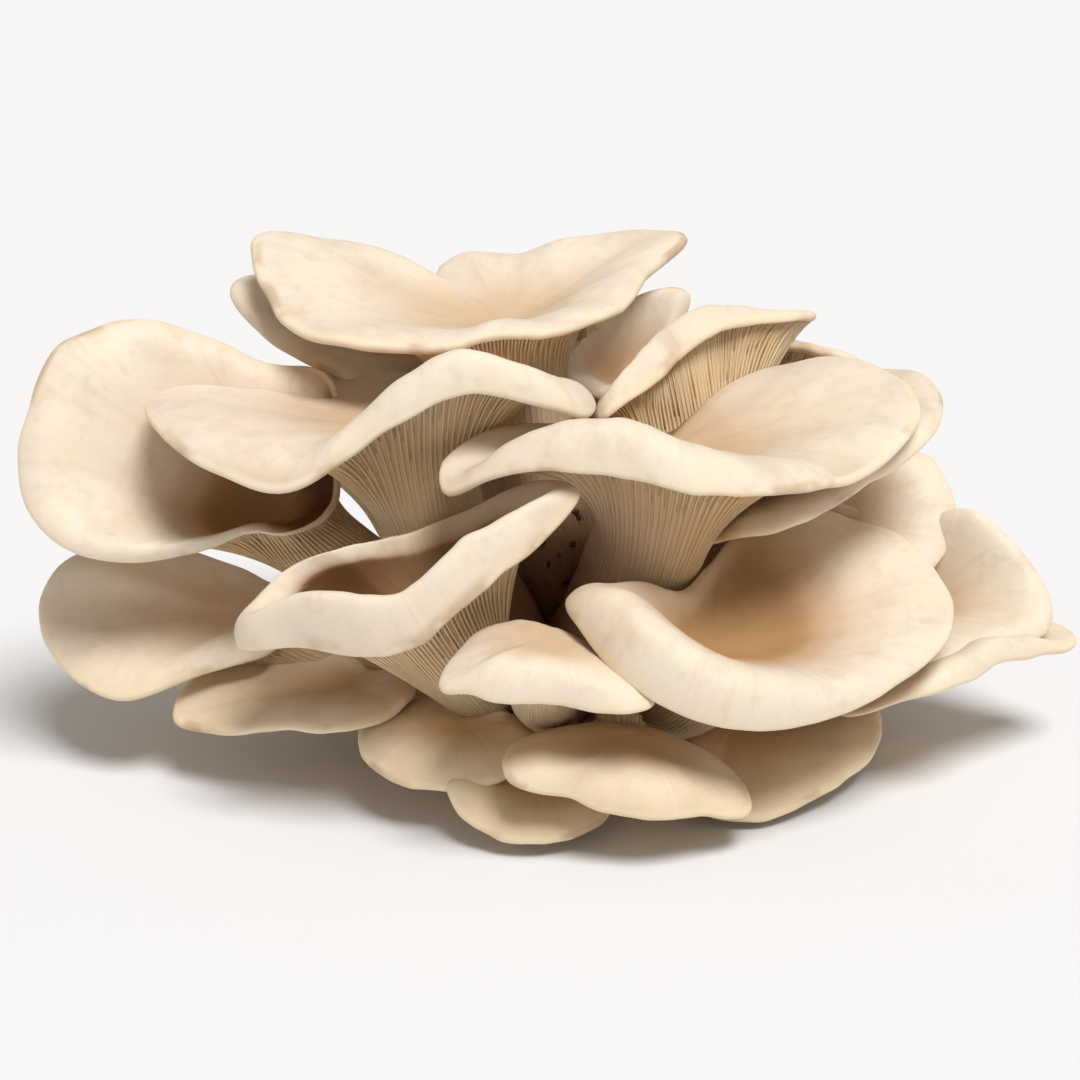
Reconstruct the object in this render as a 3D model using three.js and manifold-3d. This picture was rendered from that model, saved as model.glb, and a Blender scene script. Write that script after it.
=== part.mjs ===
// A cluster of oyster mushrooms, grown together at one butt.
// Millimetres, +Z up, +X to the right and -Y to the front of the cluster.
//
// Every mushroom is one piece of flesh: a fan or funnel cap, the gilled side
// under it, and a stem that runs down to the butt. The butt carries them all.
import * as THREE from 'three';
import Module from 'manifold-3d';

const wasm = await Module();
wasm.setup();

// ---------------------------------------------------------------- dimensions
const MARGIN_RADIUS = 1.15; // rounding of the thin edge of a cap
const FLESH = 4;            // thickness of a cap behind its rolled shoulder
const FLOOR = 0.38;         // share of the reach that stays level at the middle
const SHOULDER = 0.3;       // share of the reach that the margin rolls over
const STEM_TOP = 2;         // depth below the middle where the stem begins
const CLIMB = 0.95;          // how far the gilled side keeps to the neck, over the neck's length
const HAIRLINE = 0.35;      // gap where two pieces of flesh press together
const EVENNESS = 0.12;      // how closely a trimmed skin keeps to its curves
const BOW = 0.4;            // how far a stem goes straight down before it turns to the root

const BUTT = {
  centre: [3, 5],
  levels: [[0, 27], [5, 30], [13, 28], [19, 22], [24, 12]], // height, radius
  narrow: 0.86,             // front-to-back width over left-to-right width
  bulges: [[2, 0.05, 0.7], [3, 0.04, 2.1], [7, 0.025, 0.4]], // count, height, phase
};

const RAYS = { large: 16, small: 12, butt: 24 };
const ROWS = { crown: 5, gills: 3, stem: 3 };

// hub     the middle of the cap, where the stem meets it
// faces   compass bearing that the cap turns to, and how far it leans over
// rim     bearing, reach, lift above the hub, and roll of the shoulder there
// root    where the stem ends in the butt
// stem    radius at the neck, radius at the foot, length of the flared neck
const MUSHROOMS = [
  { name: 'mushroom_centre_funnel', size: 'large', shoulder: 0.22,
    hub: [23, -12, 72], faces: [-100, 5], root: [6, 2, 14], stem: [12, 10, 20],
    rim: [[75, 38, 1, 6], [105, 52, 7, 1], [130, 47, 10, 0], [160, 36, 3, 0], [180, 19, -3, 0],
      [225, 14, 0, 0], [275, 20, 6, 0], [290, 35, 8, 2], [299, 46, 5, 4], [306, 48, 1, 10],
      [316, 43, 6, 16], [332, 35, 9, 20], [355, 30, 8, 22]] },
  { name: 'mushroom_left_saddle', size: 'large', shoulder: 0.22,
    hub: [-26, -8, 76], faces: [-100, 5], root: [-4, 2, 14], stem: [11, 10, 18],
    rim: [[5, 25, 12, 20], [40, 27, 17, 22], [75, 38, 10, 18], [115, 30, 7, 2], [160, 24, 3, 0],
      [200, 28, 1, 0], [230, 38, 0, 0], [275, 53, 6, 2], [290, 53, 6, 5], [325, 39, -1, 12],
      [345, 29, 6, 17]] },
  { name: 'mushroom_front_bowl', size: 'large', shoulder: 0.22,
    hub: [34, -25, 36], faces: [-60, 25], root: [12, -4, 12], stem: [11, 10, 14],
    rim: [[0, 30, 6, 17], [40, 35, 8, 6], [75, 48, 11, 1], [120, 45, 8, 0], [140, 31, 4, 0],
      [160, 16, 5, 0], [205, 11, 6, 0], [243, 22, 12, 0], [258, 35, 14, 12], [272, 36, 14, 24],
      [300, 34, 11, 27]] },
  { name: 'mushroom_top', size: 'large',
    hub: [-9, 20, 90], faces: [-90, 5], root: [8, 14, 18], stem: [13, 10, 14],
    rim: [[34, 21, 5, 4], [82, 25, 6, 3], [107, 31, 7, 3], [116, 38, 8, 2], [122, 46, 10, 2],
      [133, 46, 9, 1], [154, 33, 8, 0], [172, 27, 6, 0], [195, 28, 6, 0], [212, 25, 5, 0],
      [223, 23, 4, 2], [233, 33, 9, 1], [244, 43, 12, 0], [255, 52, 15, 0], [266, 51, 13, 0],
      [277, 48, 10, 1], [293, 45, 6, 2], [308, 40, 5, 3], [327, 30, 4, 4], [354, 22, 6, 4]] },
  { name: 'mushroom_left_fan', size: 'large',
    hub: [-54, 0, 54], faces: [-115, 50], root: [-8, 8, 14], stem: [9, 9, 16],
    rim: [[50, 8, 6, 3], [96, 9, 1, 1], [151, 14, -2, 0], [169, 28, 9, 2], [194, 28, 15, 3],
      [215, 35, 22, 3], [226, 40, 28, 3], [238, 43, 32, 3], [249, 44, 36, 2], [268, 44, 36, 2],
      [286, 44, 33, 3], [306, 38, 28, 3], [319, 28, 22, 4], [329, 19, 17, 5], [352, 9, 12, 4]] },
  { name: 'mushroom_left_curl', size: 'large', shoulder: 0.22,
    hub: [-19, -26, 35], faces: [-150, 30], root: [-6, -6, 14], stem: [8, 8, 12],
    rim: [[3, 27, 26, 30], [22, 23, 21, 37], [43, 21, 18, 35], [64, 20, 18, 30], [89, 21, 20, 27],
      [116, 25, 21, 28], [135, 32, 21, 24], [147, 39, 23, 12], [165, 31, 24, 2], [190, 19, 21, 0],
      [233, 10, 23, 0], [305, 12, 29, 0], [326, 23, 31, 0], [346, 35, 28, 18]] },
  { name: 'mushroom_centre_shell', size: 'small',
    hub: [-1, -48, 46], faces: [-80, 20], root: [2, -14, 16], stem: [6, 8, 9],
    rim: [[5, 15, -3, 10], [55, 24, -5, 6], [75, 17, -6, 5], [110, 11, -6, 5], [170, 9, -5, 5],
      [260, 16, -4, 4], [287, 21, -5, 5], [305, 18, -3, 9]] },
  { name: 'mushroom_front_shell', size: 'small',
    hub: [16, -41, 23], faces: [-80, 25], root: [8, -16, 8], stem: [7, 8, 7],
    rim: [[30, 22, -3, 8], [57, 27, -8, 7], [115, 14, -10, 5], [190, 6, -5, 4], [240, 14, -5, 5],
      [290, 27, 1, 5], [320, 19, -1, 8]] },
  { name: 'mushroom_right_wing', size: 'large',
    hub: [41, 5, 60], faces: [-60, 30], root: [14, 4, 15], stem: [8, 9, 14],
    rim: [[25, 24, 21, 5], [60, 33, 26, 5], [90, 37, 23, 3], [108, 36, 15, 2], [140, 19, 0, 1],
      [200, 12, -1, 1], [280, 14, -3, 1], [310, 21, 1, 3], [330, 24, 10, 4]] },
  { name: 'mushroom_upper_right', size: 'large', shoulder: 0.22, bow: 0.15,
    hub: [30, 16, 74], faces: [140, 40], root: [12, 16, 16], stem: [9, 8, 22],
    rim: [[40, 10, 8, 1], [85, 25, 4, 9], [110, 14, 6, 18], [145, 11, 8, 18], [215, 19, 9, 15],
      [240, 34, 5, 3], [260, 35, 8, 0], [275, 28, 10, 0], [295, 16, 10, 0]] },
  { name: 'mushroom_front_left_shell', size: 'small',
    hub: [-18, -28, 20], faces: [-105, 15], root: [-4, -12, 9], stem: [6, 7, 8],
    rim: [[10, 16, -4, 8], [55, 17, -3, 6], [85, 17, -1, 5], [155, 7, -3, 3], [245, 15, -2, 4],
      [280, 20, -2, 4]] },
  { name: 'mushroom_front_foot', size: 'small',
    hub: [-2, -33, 12], faces: [-90, 20], root: [2, -14, 7], stem: [6, 7, 7],
    rim: [[15, 19, -1, 6], [85, 16, -2, 3], [170, 5, -2, 1], [240, 11, -1, 2], [295, 19, 4, 3],
      [315, 20, 1, 4]] },
  { name: 'mushroom_low_right', size: 'small',
    hub: [39, -12, 13], faces: [-60, 15], root: [14, 0, 11], stem: [6, 8, 8],
    rim: [[20, 26, -1, 6], [75, 32, 0, 3], [100, 34, -4, 2], [120, 29, -6, 1], [160, 11, -3, 1],
      [205, 5, -1, 1], [260, 10, -1, 1], [305, 23, -1, 3], [322, 27, -3, 4]] },
  { name: 'mushroom_right_middle', size: 'small',
    hub: [58, 20, 46], faces: [-60, 35], root: [16, 6, 14], stem: [7, 8, 12],
    rim: [[0, 13, 2, 3], [29, 23, 4, 3], [49, 27, 7, 3], [67, 28, 10, 2], [84, 27, 11, 2],
      [101, 25, 11, 2], [116, 18, 7, 2], [150, 10, 3, 1], [240, 7, 1, 1], [320, 10, 0, 2]] },
  { name: 'mushroom_far_right', size: 'small',
    hub: [77, 14, 30], faces: [-60, 35], root: [20, 6, 10], stem: [7, 8, 12],
    rim: [[15, 24, 14, 4], [40, 28, 15, 5], [90, 18, 18, 4], [125, 15, 18, 2], [180, 13, 2, 1],
      [248, 8, -1, 1], [295, 18, 1, 1], [320, 25, 8, 2], [345, 24, 14, 3]] },
  { name: 'mushroom_far_right_fold', size: 'small',
    hub: [76, 4, 20], faces: [-50, 20], root: [20, 2, 11], stem: [6, 8, 9],
    rim: [[0, 21, 16, 11], [35, 26, 14, 9], [58, 34, 12, 1], [80, 22, 9, 0], [105, 13, 3, 0],
      [180, 9, 0, 0], [232, 7, 0, 0], [285, 26, 1, 2], [312, 28, 12, 8]] },
  { name: 'mushroom_left_low', size: 'small',
    hub: [-61, 3, 32], faces: [-120, 25], root: [-10, 6, 10], stem: [7, 8, 12],
    rim: [[15, 16, 1, 4], [120, 6, -3, 1], [200, 10, -1, 1], [235, 18, 1, 1], [250, 26, 4, 2],
      [285, 40, 14, 2], [297, 44, 10, 3], [335, 35, 2, 6], [355, 22, 2, 5]] },
  { name: 'mushroom_left_foot', size: 'small',
    hub: [-41, -8, 21], faces: [-120, 15], root: [-6, 0, 9], stem: [6, 7, 9],
    rim: [[45, 22, 4, 5], [80, 19, 5, 2], [133, 6, 0, 1], [210, 8, 0, 1], [255, 18, 0, 1],
      [275, 28, 1, 1], [310, 36, 1, 2], [325, 30, 1, 4], [355, 23, 4, 5]] },
  { name: 'mushroom_upper_rear_left', size: 'small',
    hub: [-31, 35, 79], faces: [-130, 30], root: [0, 20, 16], stem: [8, 8, 14],
    rim: [[0, 19, 13, 3], [35, 17, 3, 3], [60, 14, -2, 2], [155, 11, -4, 1], [220, 17, 1, 1],
      [255, 24, 11, 1], [280, 28, 21, 1], [305, 28, 26, 2]] },
  { name: 'mushroom_rear_peak', size: 'small',
    hub: [15, 32, 74], faces: [-110, 30], root: [10, 22, 16], stem: [7, 8, 12],
    rim: [[0, 10, 5, 3], [97, 6, 2, 2], [128, 10, 5, 2], [139, 18, 7, 2], [147, 22, 9, 2],
      [162, 17, 11, 1], [180, 10, 12, 1], [217, 6, 12, 3], [286, 8, 15, 5], [311, 11, 14, 5],
      [339, 13, 12, 3]] },
  { name: 'mushroom_rear_upper_right', size: 'small',
    hub: [54, 40, 75], faces: [50, 30], root: [12, 18, 14], stem: [8, 8, 12],
    rim: [[0, 24, 4, 5], [45, 20, 2, 4], [90, 24, 5, 5], [135, 18, 3, 3], [180, 12, 2, 2],
      [225, 14, 3, 2], [315, 22, 3, 4]] },
  { name: 'mushroom_rear_centre', size: 'large',
    hub: [0, 57, 57], faces: [85, 35], root: [4, 20, 15], stem: [9, 9, 14],
    rim: [[0, 30, 4, 7], [45, 34, 7, 8], [90, 31, 3, 7], [135, 26, 5, 5], [180, 14, 3, 2],
      [225, 10, 2, 1], [270, 12, 3, 2], [315, 22, 6, 4]] },
  { name: 'mushroom_rear_left', size: 'small',
    hub: [-36, 42, 55], faces: [125, 30], root: [-4, 16, 14], stem: [8, 9, 13],
    rim: [[0, 28, 3, 6], [45, 31, 5, 7], [90, 24, 3, 4], [135, 16, 3, 2], [180, 11, 2, 1],
      [225, 12, 3, 2], [270, 20, 4, 3], [315, 29, 2, 6]] },
  { name: 'mushroom_rear_mid_right', size: 'small',
    hub: [58, 32, 44], faces: [40, 30], root: [16, 14, 12], stem: [7, 8, 12],
    rim: [[0, 22, 2, 4], [45, 26, 4, 5], [90, 20, 2, 4], [135, 14, 2, 2], [180, 10, 1, 1],
      [270, 14, 3, 3], [315, 18, 3, 4]] },
  { name: 'mushroom_rear_low_right', size: 'small',
    hub: [50, 40, 20], faces: [40, 30], root: [14, 14, 9], stem: [7, 8, 10],
    rim: [[0, 28, 3, 5], [45, 32, 1, 6], [90, 26, 3, 4], [135, 16, 2, 2], [178, 7, 0, 1],
      [270, 16, 2, 2], [315, 24, 2, 4]] },
  { name: 'mushroom_rear_low_centre', size: 'small',
    hub: [12, 54, 24], faces: [75, 30], root: [6, 20, 9], stem: [8, 8, 10],
    rim: [[0, 28, 2, 5], [45, 30, 4, 6], [90, 26, 2, 5], [135, 20, 3, 4], [190, 7, 1, 1],
      [270, 12, 2, 1], [315, 22, 4, 4]] },
  { name: 'mushroom_rear_low_left', size: 'small',
    hub: [-34, 38, 21], faces: [135, 30], root: [-6, 14, 9], stem: [7, 8, 10],
    rim: [[0, 25, 2, 5], [45, 27, 4, 6], [90, 22, 2, 4], [135, 15, 2, 2], [185, 7, 0, 1],
      [270, 18, 3, 3], [315, 26, 1, 5]] },
];

// -------------------------------------------------------------------- shapes
const radians = THREE.MathUtils.degToRad;
const at = (xyz) => new THREE.Vector3(...xyz);
const along = (point, direction, distance) => point.clone().addScaledVector(direction, distance);

/** The cap's own directions: down its lean, across it, and out of its top. */
function capDirections([bearing, lean]) {
  const b = radians(bearing);
  const l = radians(lean);
  return {
    down: at([Math.cos(l) * Math.cos(b), Math.cos(l) * Math.sin(b), -Math.sin(l)]),
    across: at([-Math.sin(b), Math.cos(b), 0]),
    top: at([Math.sin(l) * Math.cos(b), Math.sin(l) * Math.sin(b), Math.cos(l)]),
  };
}

/** Reach, lift and roll at any bearing, on a smooth closed curve through the rim's rows. */
function rimAt(rim, bearing) {
  const turn = ((bearing % 360) + 360) % 360;
  const count = rim.length;
  const row = (k) => rim[(k + count) % count];
  const bearingOf = (k) => row(k)[0] + 360 * Math.floor(k / count);
  let i = rim.filter((r) => r[0] <= turn).length - 1;
  const width = bearingOf(i + 1) - bearingOf(i);
  const t = (turn - bearingOf(i)) / width;
  const slope = (k, n) => ((row(k + 1)[n] - row(k - 1)[n]) / (bearingOf(k + 1) - bearingOf(k - 1))) * width;
  return [1, 2, 3].map((n) => (
    (2 * t ** 3 - 3 * t ** 2 + 1) * row(i)[n] + (t ** 3 - 2 * t ** 2 + t) * slope(i, n)
    + (3 * t ** 2 - 2 * t ** 3) * row(i + 1)[n] + (t ** 3 - t ** 2) * slope(i + 1, n)
  ));
}

/** The line down the middle of the stem, and where on it the flared neck ends. */
function stemAxis(mushroom, top) {
  const hub = at(mushroom.hub);
  const root = at(mushroom.root);
  const length = hub.distanceTo(root);
  const rise = hub.clone().sub(root).normalize();
  const start = along(hub, top, -STEM_TOP);
  const bow = (mushroom.bow ?? BOW) * Math.min(length, hub.z);
  const axis = new THREE.CubicBezierCurve3(
    start, along(start, top, -bow), along(root, rise, 0.3 * length), root);
  const neck = Math.min(mushroom.stem[2], 0.6 * axis.getLength());
  return { axis, neckAt: axis.getUtoTmapping(0, neck) };
}

/** A mushroom as a set of functions of the bearing around its cap. */
function describe(mushroom) {
  const { down, across, top } = capDirections(mushroom.faces);
  const { axis, neckAt } = stemAxis(mushroom, top);
  const hub = at(mushroom.hub);
  const shoulder = mushroom.shoulder ?? SHOULDER;
  const [neck, foot] = mushroom.stem;
  const outward = (bearing) => down.clone().multiplyScalar(Math.cos(radians(bearing)))
    .addScaledVector(across, Math.sin(radians(bearing)));

  const margin = (bearing) => {
    const [reach, lift] = rimAt(mushroom.rim, bearing);
    return along(along(hub, outward(bearing), reach), top, lift);
  };
  const stemPoint = (bearing, t) => {
    const lean = new THREE.Quaternion().setFromUnitVectors(top.clone().negate(), axis.getTangent(t));
    const radius = THREE.MathUtils.lerp(neck, foot, (t - neckAt) / (1 - neckAt));
    return along(axis.getPoint(t), outward(bearing).applyQuaternion(lean), radius);
  };
  const section = (bearing) => {
    const out = outward(bearing);
    const [reach, , roll] = rimAt(mushroom.rim, bearing);
    const edge = margin(bearing);
    const brow = along(along(edge, out, -reach * shoulder), top, roll);
    const crown = new THREE.CubicBezierCurve3(hub, along(hub, out, reach * FLOOR), brow, edge);
    const run = edge.clone().sub(brow).normalize();
    const face = along(top, run, -top.dot(run)).normalize();
    const under = along(edge, face, -2 * MARGIN_RADIUS);
    const collar = stemPoint(bearing, neckAt);
    const climb = Math.min(0.45 * collar.distanceTo(under), CLIMB * mushroom.stem[2]);
    const neckSide = along(collar, axis.getTangent(neckAt), -climb);
    const gills = new THREE.CubicBezierCurve3(under, along(brow, top, -FLESH), neckSide, collar);
    const tip = along(along(edge, face, -MARGIN_RADIUS), run, MARGIN_RADIUS);
    return { crown, tip, gills };
  };
  return { hub, axis, neckAt, margin, stemPoint, section };
}

/** Bearings of the rays: half spread evenly around the hub, half evenly along the margin. */
function rayBearings(shape, count) {
  const steps = 180;
  const total = [0];
  const length = [0];
  for (let i = 1; i <= steps; i += 1) {
    const step = shape.margin((360 * i) / steps).distanceTo(shape.margin((360 * (i - 1)) / steps));
    length.push(length[i - 1] + step);
  }
  for (let i = 1; i <= steps; i += 1) {
    total.push(i / steps + length[i] / length[steps]);
  }
  return Array.from({ length: count }, (_, k) => {
    const wanted = (2 * k) / count;
    const i = total.findIndex((value) => value > wanted);
    return (360 * (i - 1 + (wanted - total[i - 1]) / (total[i] - total[i - 1]))) / steps;
  });
}

/** One ray of a mushroom, from beside the hub over the margin and down the stem. */
function rayPoints(shape, bearing) {
  const { crown, tip, gills } = shape.section(bearing);
  const points = [];
  for (let j = 1; j <= ROWS.crown; j += 1) {
    points.push(crown.getPoint(j / ROWS.crown));
  }
  points.push(tip);
  for (let j = 0; j <= ROWS.gills; j += 1) {
    points.push(gills.getPoint(j / ROWS.gills));
  }
  for (let j = 1; j <= ROWS.stem; j += 1) {
    points.push(shape.stemPoint(bearing, THREE.MathUtils.lerp(shape.neckAt, 1, j / ROWS.stem)));
  }
  return points;
}

/** A closed skin over rays that share a first point and a last point. */
function skin(first, rays, last) {
  const rows = rays[0].length;
  const points = [first, ...rays.flat(), last];
  const index = [];
  rays.forEach((_, ray) => {
    const here = 1 + ray * rows;
    const next = 1 + ((ray + 1) % rays.length) * rows;
    index.push(0, here, next);
    for (let j = 0; j < rows - 1; j += 1) {
      index.push(here + j, here + j + 1, next + j + 1);
      index.push(here + j, next + j + 1, next + j);
    }
    index.push(here + rows - 1, points.length - 1, next + rows - 1);
  });
  const geometry = new THREE.BufferGeometry().setFromPoints(points);
  geometry.setIndex(index);
  geometry.computeVertexNormals();
  return geometry;
}

function mushroomSkin(mushroom) {
  const shape = describe(mushroom);
  const rays = rayBearings(shape, RAYS[mushroom.size]).map((bearing) => rayPoints(shape, bearing));
  return skin(shape.hub, rays, at(mushroom.root));
}

/** The butt: a lobed lump with a flat cut face that stands on the table. */
function buttSkin() {
  const [x, y] = BUTT.centre;
  const top = BUTT.levels.at(-1)[0];
  const rays = Array.from({ length: RAYS.butt }, (_, i) => {
    const turn = (2 * Math.PI * i) / RAYS.butt;
    const lobed = BUTT.bulges.reduce((sum, [n, high, phase]) => sum + high * Math.cos(n * turn + phase), 1);
    return BUTT.levels.map(([height, radius]) => at([
      x + radius * lobed * Math.cos(turn),
      y + radius * lobed * BUTT.narrow * Math.sin(turn),
      height,
    ])).reverse();
  });
  return skin(at([x, y, top]), rays, at([x, y, 0]));
}

// -------------------------------------------------------------------- solids
/** The skin as a solid, grown outward by a distance. */
function solid(geometry, grow = 0) {
  const position = geometry.attributes.position;
  const normal = geometry.attributes.normal;
  const vertProperties = new Float32Array(position.count * 3);
  for (let i = 0; i < position.count; i += 1) {
    const point = new THREE.Vector3().fromBufferAttribute(position, i);
    const away = new THREE.Vector3().fromBufferAttribute(normal, i);
    along(point, away, grow).toArray(vertProperties, 3 * i);
  }
  const triVerts = Uint32Array.from(geometry.index.array);
  return wasm.Manifold.ofMesh(new wasm.Mesh({ numProp: 3, vertProperties, triVerts }));
}

/** The biggest single body of a solid. */
function biggest(body) {
  const bodies = body.decompose();
  return bodies.reduce((best, each) => (each.volume() > best.volume() ? each : best))
    .simplify(EVENNESS);
}

function toMesh(body, name, colour) {
  const { vertProperties, triVerts } = body.getMesh();
  const geometry = new THREE.BufferGeometry();
  geometry.setAttribute('position', new THREE.BufferAttribute(Float32Array.from(vertProperties), 3));
  geometry.setIndex(new THREE.BufferAttribute(Uint32Array.from(triVerts), 1));
  geometry.computeVertexNormals();
  const material = new THREE.MeshStandardMaterial({ color: colour, roughness: 0.6, metalness: 0 });
  const mesh = new THREE.Mesh(geometry, material);
  mesh.name = name;
  return mesh;
}

// ------------------------------------------------------------------- cluster
const cluster = new THREE.Group();
cluster.name = 'oyster_mushroom_cluster';

const butt = buttSkin();
cluster.add(toMesh(solid(butt), 'butt', 0xcdb894));
const taken = [solid(butt, HAIRLINE)];

MUSHROOMS.forEach((mushroom) => {
  const geometry = mushroomSkin(mushroom);
  const free = solid(geometry).subtract(wasm.Manifold.union(taken));
  cluster.add(toMesh(biggest(free), mushroom.name, 0xe8dabd));
  taken.push(solid(geometry, HAIRLINE));
});

// The frame's origin is under the middle of the cluster, on the table.
const box = new THREE.Box3().setFromObject(cluster);
const middle = box.getCenter(new THREE.Vector3());
cluster.children.forEach((mesh) => mesh.geometry.translate(-middle.x, -middle.y, -box.min.z));

export default cluster;
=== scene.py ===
import math

import bpy
import numpy as np
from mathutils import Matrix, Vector
from mathutils.bvhtree import BVHTree
from mathutils.kdtree import KDTree


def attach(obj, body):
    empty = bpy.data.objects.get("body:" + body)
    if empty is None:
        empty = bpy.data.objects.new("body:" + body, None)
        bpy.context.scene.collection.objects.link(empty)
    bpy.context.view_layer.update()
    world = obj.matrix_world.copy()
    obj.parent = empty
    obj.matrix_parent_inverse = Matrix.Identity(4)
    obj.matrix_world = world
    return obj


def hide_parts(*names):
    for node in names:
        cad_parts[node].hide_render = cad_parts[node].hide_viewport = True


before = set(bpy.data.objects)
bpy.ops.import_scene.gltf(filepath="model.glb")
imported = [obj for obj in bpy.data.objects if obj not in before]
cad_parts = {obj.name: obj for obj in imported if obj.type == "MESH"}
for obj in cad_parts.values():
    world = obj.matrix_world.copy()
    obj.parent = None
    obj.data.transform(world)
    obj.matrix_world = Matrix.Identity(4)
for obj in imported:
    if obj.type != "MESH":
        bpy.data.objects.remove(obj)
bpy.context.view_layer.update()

MM = 0.001

# ---------------------------------------------------------------- dimensions
# Millimetres, in the cluster's own design frame, whose origin is on the table
# under the butt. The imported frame's origin is under the cluster's middle.
FRAME_ORIGIN = np.array([2.58, 12.35, 0.0])
TAU = 2 * math.pi

MARGIN_RADIUS = 1.0   # rounding of the thin edge of a cap
LIP_DROP = 1.15       # how far the gilled side starts below the margin's middle
FLESH = 4.0           # thickness of a cap behind its rolled shoulder
THINNEST = 1.7        # least thickness of a cap anywhere
FLOOR = 0.38          # share of the reach that stays level at the middle
SHOULDER = 0.3        # share of the reach that the margin rolls over
CLIMB = 0.95          # how far the gilled side keeps to the neck, over the neck's length
STEM_TOP = 2.0        # depth below the middle where the stem begins
BOW = 0.4             # how far a stem goes straight before it turns to the root
RIPPLES = (4, 7, 11, 17, 26)   # how many small ripples of each kind run round a margin
RIPPLE_OUT, RIPPLE_UP = 1.5, 1.9   # reach and lift of a ripple, shared out by its count
SWELL_HIGH, SWELL_LONG = 0.35, 14     # soft waves over a crown
PUCKER_HIGH, PUCKER_LONG = 0.16, 6    # smaller ones on them
UNEVEN_HIGH, UNEVEN_LONG = 0.5, 11    # waves of the gilled side and the stem
OVER_GILLS = 0.9      # flesh that stays above the bottoms of the gills
GILL_THICKNESS, GILL_TAPER = 0.42, 0.12   # at the margin, and what it loses by the root

BUTT_CENTRE = (3.0, 5.0)
BUTT_LEVELS = ((0.0, 27.0), (5.0, 30.0), (13.0, 28.0), (19.0, 22.0), (24.0, 12.0))
BUTT_NARROW = 0.86
BUTT_BULGES = ((2, 0.05, 0.7), (3, 0.04, 2.1), (7, 0.025, 0.4))
BUTT_LUMPS = ((1.1, 10, 11), (0.6, 4, 12))   # height, length and seed of the lumps
BUTT_PARED = 0.9      # the lumpy skin starts this far inside

LARGE = {"rays": 144, "gills": 84, "gill_depth": 1.3}
SMALL = {"rays": 112, "gills": 60, "gill_depth": 1.0}
CROWN_ROWS, LIP_ROWS, UNDER_ROWS, STEM_ROWS = 34, 5, 24, 18
CLOSED_CAPS = ("left_curl",)   # curled so far that the hollow lies in shade: its painted shade starts close below the margin
USUAL_SHADE_DEPTH = 13     # depth below the rim at which the painted shade in a cap's hollow is darkest
HOLLOW_SHADE_DEPTH = {"top": 24, "front_bowl": 7.5, "centre_funnel": 8}   # where it isn't the usual
CLOSED_BAND, CLOSED_SHADE_DEPTH = 1.5, 3   # in a closed cap: the pale band below its margin left without painted shade, and the depth of that shade
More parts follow.
